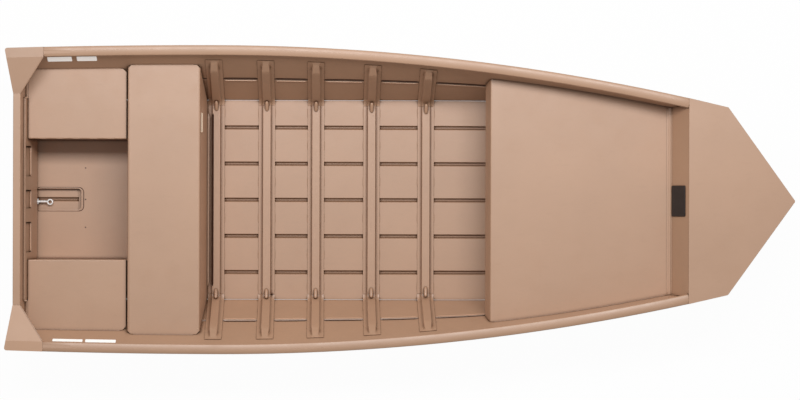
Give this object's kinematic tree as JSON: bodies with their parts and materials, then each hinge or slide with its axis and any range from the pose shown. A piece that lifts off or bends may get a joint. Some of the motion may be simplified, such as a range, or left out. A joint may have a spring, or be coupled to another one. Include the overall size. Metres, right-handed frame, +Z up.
{
  "type": "jon boat",
  "caption": "Flat-bottomed welded aluminium jon boat with a modified-V bow, ribbed open cockpit, stern boxes with a bench, motor well, front deck and bow cap",
  "frame": {"origin": "under the middle of the overall length, on the centre line, at the height of the strakes' undersides", "axes": "+X to the bow, +Y to port, +Z up"},
  "size_m": [4.605, 1.806, 0.58],
  "materials": {
    "hull_paint": "matte tan paint over welded aluminium sheet",
    "trim_paint": "matte tan paint on the gunwales, corner gussets and caps",
    "rib_paint": "matte tan paint on folded ribs and stiffeners",
    "deck_paint": "matte tan paint with a fine texture on the decks",
    "black_plastic": "matte black moulded plastic",
    "bright_steel": "bright stainless steel"
  },
  "bodies": {
    "root": {"hull_bottom": "hull_paint", "hull_side_port": "hull_paint", "hull_side_starboard": "hull_paint", "gunwale_port": "trim_paint", "gunwale_starboard": "trim_paint", "corner_gusset_port": "trim_paint", "corner_gusset_starboard": "trim_paint", "transom": "hull_paint", "transom_cap": "trim_paint", "transom_pan": "rib_paint", "floor_rib_1": "rib_paint", "floor_rib_2": "rib_paint", "floor_rib_3": "rib_paint", "floor_rib_4": "rib_paint", "floor_rib_5": "rib_paint", "floor_rib_6": "rib_paint", "floor_rib_7": "rib_paint", "floor_rib_8": "rib_paint", "aft_floor_rib_a": "rib_paint", "aft_floor_rib_b": "rib_paint", "side_rib_port_1": "rib_paint", "side_rib_port_2": "rib_paint", "side_rib_port_3": "rib_paint", "side_rib_port_4": "rib_paint", "side_rib_port_5": "rib_paint", "side_rib_port_6": "rib_paint", "side_rib_port_7": "rib_paint", "side_rib_port_8": "rib_paint", "side_rib_starboard_1": "rib_paint", "side_rib_starboard_2": "rib_paint", "side_rib_starboard_3": "rib_paint", "side_rib_starboard_4": "rib_paint", "side_rib_starboard_5": "rib_paint", "side_rib_starboard_6": "rib_paint", "side_rib_starboard_7": "rib_paint", "side_rib_starboard_8": "rib_paint", "stern_box_top_port": "deck_paint", "stern_box_top_starboard": "deck_paint", "stern_box_panel_port": "deck_paint", "stern_box_panel_starboard": "deck_paint", "bench_top": "deck_paint", "bench_front_panel": "deck_paint", "bench_aft_panel": "deck_paint", "well_floor": "deck_paint", "front_deck": "deck_paint", "deck_beam_a": "rib_paint", "deck_beam_b": "rib_paint", "riser": "deck_paint", "riser_plate": "black_plastic", "bow_cap": "trim_paint", "bow_eye": "bright_steel", "drain_tube": "bright_steel", "drain_plug": "bright_steel"}
  },
  "joints": []
}
